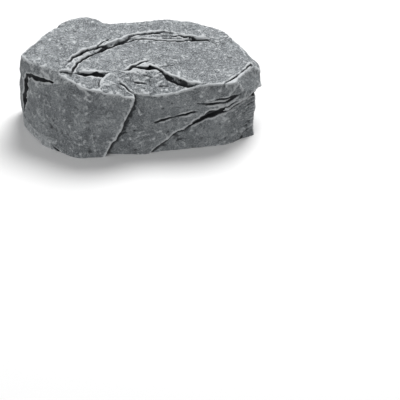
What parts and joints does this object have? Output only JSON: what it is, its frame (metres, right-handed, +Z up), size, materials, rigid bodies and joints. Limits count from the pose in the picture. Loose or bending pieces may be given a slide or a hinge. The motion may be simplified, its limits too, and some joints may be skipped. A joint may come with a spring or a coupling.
{
  "type": "hide a key rock",
  "caption": "Hollow cast stone-look rock with a key compartment in its flat underside, closed by a cover that slides out of one end.",
  "frame": {"origin": "middle of the rock's base, on the ground it stands on", "axes": "+X along the rock's length, away from the end that the cover leaves by; -Y towards the split front face; +Z up"},
  "size_m": [0.1206, 0.0714, 0.045],
  "materials": {
    "cast_stone": "mineral-filled casting resin, painted grey with pale dry-brushed edges",
    "cast_cover": "mineral-filled casting resin, grey with pale streaks along its length"
  },
  "bodies": {
    "rock": {"rock_shell": "cast_stone"},
    "cover": {"slide_cover": "cast_cover"}
  },
  "joints": [
    {"name": "cover_slide", "type": "slide", "parent": "rock", "child": "cover", "axis": [-1, 0, 0], "range_m": [0, 0.112]}
  ]
}
